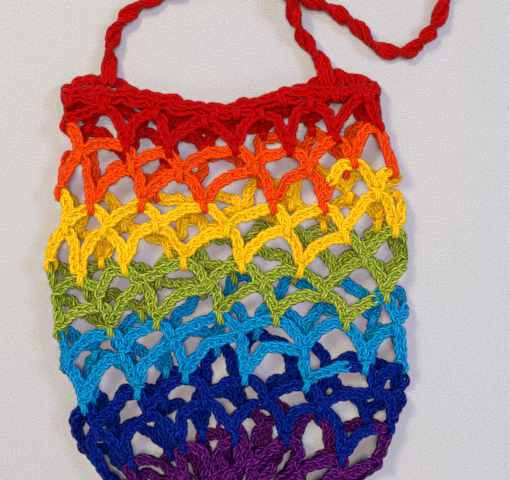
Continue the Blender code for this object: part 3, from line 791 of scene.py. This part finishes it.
for_rim = []
for row in EDGE_ROWS:
    edge_s = np.linspace(0, 2, EDGE_POINTS)
    edge, _, _, out = surface_frame(edge_s, np.full(EDGE_POINTS, row.v))
    both = evenly(np.concatenate([edge, out * FAINT], axis=1), LINE_STEP, EDGE_SOFTNESS)
    line, out = both[:, :3], unit(both[:, 3:])
    along = walked(line)
    ahead = unit(np.gradient(line, axis=0))
    swing = slow_wave(along, row.seed, SWING_WAVE, row.swing)
    line = line + np.cross(ahead, out) * swing[:, None] + out * row.out
    turn = row.lean + slow_wave(along, row.seed + 1, EDGE_TURN_WAVE, EDGE_TURN)
    path, outward = chain(line, out, stitch=row.stitch, width=row.width, turn=turn)
    for_rim.append((path, outward, False))
posts = int(along[-1] / POST_STEP)
for post in range(posts):
    uneven = np.random.default_rng(POST_SEED + post).uniform(-1, 1, 5)
    around = 2 * (post + STEP_UNEVEN * uneven[0]) / posts
    if abs(uneven[4]) > POST_SHARE and not THICK_POSTS[0] < around < THICK_POSTS[1]:
        continue
    lean = POST_LEAN + LEAN_UNEVEN * uneven[2]
    place, side, down, out = leaning(around, POST_V + V_UNEVEN * uneven[1], lean)
    for way in (-1, 1):
        for_rim.append(ring(
            place, down, POST_TALL + TALL_UNEVEN * uneven[3], out, POST_DEEP,
            lambda low, way=way: side * way * (POST_APART - POST_NARROWS * low),
        ))
for foot in range(RIM_FEET):
    for_rim += foot_stitch(foot)
rim = spin("rim_yarn", for_rim, COTTON["yarn_red"])
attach(rim, "root")
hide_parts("rim")
WORKED[0].append(rim)


# The strap
# A narrow red band of two chains worked side by side, joined to the rim at both corners. It twists as it
# lies, so it shows its flat side and its edge by turns.

STRAP_WIDTH = 8.8
STRAP_CHAIN = 4.9
STRAP_STITCH = 5.0
STRAP_SOFTNESS = 1.0
HALF_TURNS = 46
# How much of each end lies flat, and over how much more the twist comes in, in mm.
FLAT_END, TWIST_IN = 6.0, 10.0
# How uneven the twist is, in radians, over which length, and how much of each end is even.
TWIST_UNEVEN, TWIST_WAVE = 0.6, 70.0
TWIST_EVEN = 30.0
TWIST_SEED = 3
# The route's curve is read at every ROUTE_PART of the way between two of its places and then every ROUTE_STEP
# mm, and the cord's own path has a place every PATH_STEP mm.
ROUTE_PART, ROUTE_STEP, PATH_STEP = 0.05, 1.0, 3.0
# The strap's middle line, in mm, from the left corner of the rim to the right one.
STRAP_ROUTE = [
    (-59.4, 106.5, 5.4),
    (-59.0, 110.8, 4.8),
    (-58.6, 118.5, 4.4),
    (-58.0, 128.0, 4.1),
    (-53.5, 138.5, 4.1),
    (-43.0, 148.0, 4.1),
    (-25.0, 155.5, 4.1),
    (-4.0, 160.0, 4.1),
    (17.0, 159.0, 4.1),
    (36.0, 152.5, 4.1),
    (53.0, 146.0, 4.1),
    (66.0, 137.5, 4.1),
    (77.0, 126.5, 4.1),
    (91.0, 124.0, 4.1),
    (101.0, 131.0, 4.1),
    (108.5, 142.0, 4.1),
    (112.5, 158.0, 4.1),
    (114.0, 180.0, 4.1),
    (109.0, 208.0, 4.1),
    (95.0, 238.0, 4.1),
    (70.0, 264.0, 4.1),
    (34.0, 281.0, 4.1),
    (-6.0, 283.0, 4.1),
    (-36.0, 266.0, 4.1),
    (-46.0, 238.0, 4.1),
    (-32.0, 213.0, 4.1),
    (-6.0, 199.0, 4.1),
    (15.0, 186.0, 4.6),
    (26.0, 172.0, 8.5),
    (31.0, 158.0, 12.9),
    (33.8, 144.0, 9.5),
    (38.0, 133.5, 5.4),
    (43.8, 125.5, 4.4),
    (49.0, 118.0, 5.0),
    (51.5, 108.5, 6.4),
]


def smooth_route(route, step):
    """Places about a step apart on the cubics from each of the route's own places to the next."""
    route = np.array(route, float)
    ends = np.concatenate([[2 * route[0] - route[1]], route, [2 * route[-1] - route[-2]]])
    t = np.arange(0, 1, ROUTE_PART)[:, None]
    parts = [catmull_rom(*ends[n : n + 4], t) for n in range(len(route) - 1)]
    return evenly(np.concatenate(parts + [route[-1:]]), step)


line = smooth_route(STRAP_ROUTE, ROUTE_STEP) - (MIDDLE_X, MIDDLE_Y, 0)
line = evenly(line, LINE_STEP, STRAP_SOFTNESS)
ahead = unit(np.gradient(line, axis=0))
upward = unit(np.array([0.0, 0.0, 1.0]) - ahead * ahead[:, 2:])
aside = np.cross(upward, ahead)
along = walked(line)
from_end = np.minimum(along, along[-1] - along)
turned = np.cumsum(np.clip((from_end - FLAT_END) / TWIST_IN, 0, 1))
uneven = slow_wave(along, TWIST_SEED, TWIST_WAVE, TWIST_UNEVEN)
uneven = uneven * np.clip(from_end / (2 * TWIST_EVEN) - 0.5, 0, 1)
twist = (math.pi * HALF_TURNS * turned / turned[-1] + uneven)[:, None]
flat = aside * np.cos(twist) + upward * np.sin(twist)
face = upward * np.cos(twist) - aside * np.sin(twist)
strap_yarns = []
for way in (-1, 1):
    edge = line + flat * way * (STRAP_WIDTH - STRAP_CHAIN) / 2
    path, outward = chain(edge, face, stitch=STRAP_STITCH, width=STRAP_CHAIN)
    strap_yarns.append((path, outward, False))
strap = spin("strap_yarn", strap_yarns, COTTON["yarn_red"])
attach(strap, "root")
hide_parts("strap")
strap_path = [tuple(place) for place in evenly(line, PATH_STEP) * MM]


# The floor
# The bag lies on a smooth pale surface with a fine grain, such as a coated table top. It is the stage and no
# part of the bag.

FLOOR_SIZE = 3.0
GRAIN_SCALE = 1300.0
# The tones of the grain that have the darker and the paler colour, and the two colours.
GRAIN_FROM, GRAIN_TO = 0.3, 0.7
GRAIN_DARK, GRAIN_PALE = (0.425, 0.422, 0.43, 1), (0.62, 0.615, 0.622, 1)

floor_mesh = bpy.data.meshes.new("floor")
far = FLOOR_SIZE / 2
floor_mesh.from_pydata([(-far, -far, 0), (far, -far, 0), (far, far, 0), (-far, far, 0)], [], [(0, 1, 2, 3)])
floor = bpy.data.objects.new("floor", floor_mesh)
bpy.context.scene.collection.objects.link(floor)
pale = bpy.data.materials.new("floor")
pale.use_nodes = True
nodes, links = pale.node_tree.nodes, pale.node_tree.links
shader = nodes["Principled BSDF"]
where = nodes.new("ShaderNodeTexCoord")
grain = nodes.new("ShaderNodeTexNoise")
grain.inputs["Scale"].default_value = GRAIN_SCALE
grain.inputs["Detail"].default_value = 3.0
links.new(where.outputs["Object"], grain.inputs["Vector"])
tint = nodes.new("ShaderNodeValToRGB")
tint.color_ramp.elements[0].position = GRAIN_FROM
tint.color_ramp.elements[0].color = GRAIN_DARK
tint.color_ramp.elements[1].position = GRAIN_TO
tint.color_ramp.elements[1].color = GRAIN_PALE
links.new(grain.outputs[0], tint.inputs[0])
links.new(tint.outputs[0], shader.inputs["Base Color"])
shader.inputs["Roughness"].default_value = 0.6
floor_mesh.materials.append(pale)


# Lights
# A rosy light above, a yellowish one from the upper left and a blue one from the right, all soft, tint each
# other's shadows brown and violet. A broad cool one from the lower right and a dim pale room fill them in.


def area_light(name, place, size, power, colour, target=(0.0, 0.0, 0.0)):
    """A square light of that size that faces its target: its tilt from straight down, then its turn round."""
    light = bpy.data.lights.new(name, "AREA")
    light.size = size
    light.energy = power
    light.color = colour
    holder = bpy.data.objects.new(name, light)
    bpy.context.scene.collection.objects.link(holder)
    holder.location = place
    way = np.array(target) - np.array(place)
    holder.rotation_euler = (
        math.atan2(math.hypot(way[0], way[1]), -way[2]), 0, math.atan2(way[0], -way[1]) + math.pi
    )


area_light("above", (0.01, 0.03, 1.25), 0.34, 7.1, (1.0, 0.83, 0.86))
area_light("warm", (-0.72, 0.60, 1.15), 0.34, 11.3, (0.92, 0.89, 0.57))
area_light("cool", (0.95, 0.20, 0.90), 0.30, 6.8, (0.48, 0.66, 1.0))
area_light("low", (0.45, -0.85, 1.15), 0.6, 3.0, (0.78, 0.87, 1.0), (0.12, -0.18, 0.0))
world = bpy.data.worlds.new("room")
bpy.context.scene.world = world
world.use_nodes = True
world.node_tree.nodes["Background"].inputs[0].default_value = (0.98, 0.91, 0.97, 1)
world.node_tree.nodes["Background"].inputs[1].default_value = 0.20
bpy.context.scene.view_settings.view_transform = "Standard"


# The camera
# It looks straight down from about arm's length, and the bottom of the bag and most of the strap are outside
# its frame.

VIEW_WIDTH = 255.0 * MM
VIEW_X, VIEW_Y = 14.5 * MM, 30.5 * MM
FOCUS_HEIGHT = 10.0 * MM
CAMERA_HEIGHT = 0.46
SENSOR = 36.0
camera_data = bpy.data.cameras.new("camera")
camera_data.sensor_width = SENSOR
camera_data.lens = SENSOR * CAMERA_HEIGHT / VIEW_WIDTH
camera = bpy.data.objects.new("camera", camera_data)
bpy.context.scene.collection.objects.link(camera)
camera.location = (VIEW_X, VIEW_Y, FOCUS_HEIGHT + CAMERA_HEIGHT)
bpy.context.scene.camera = camera
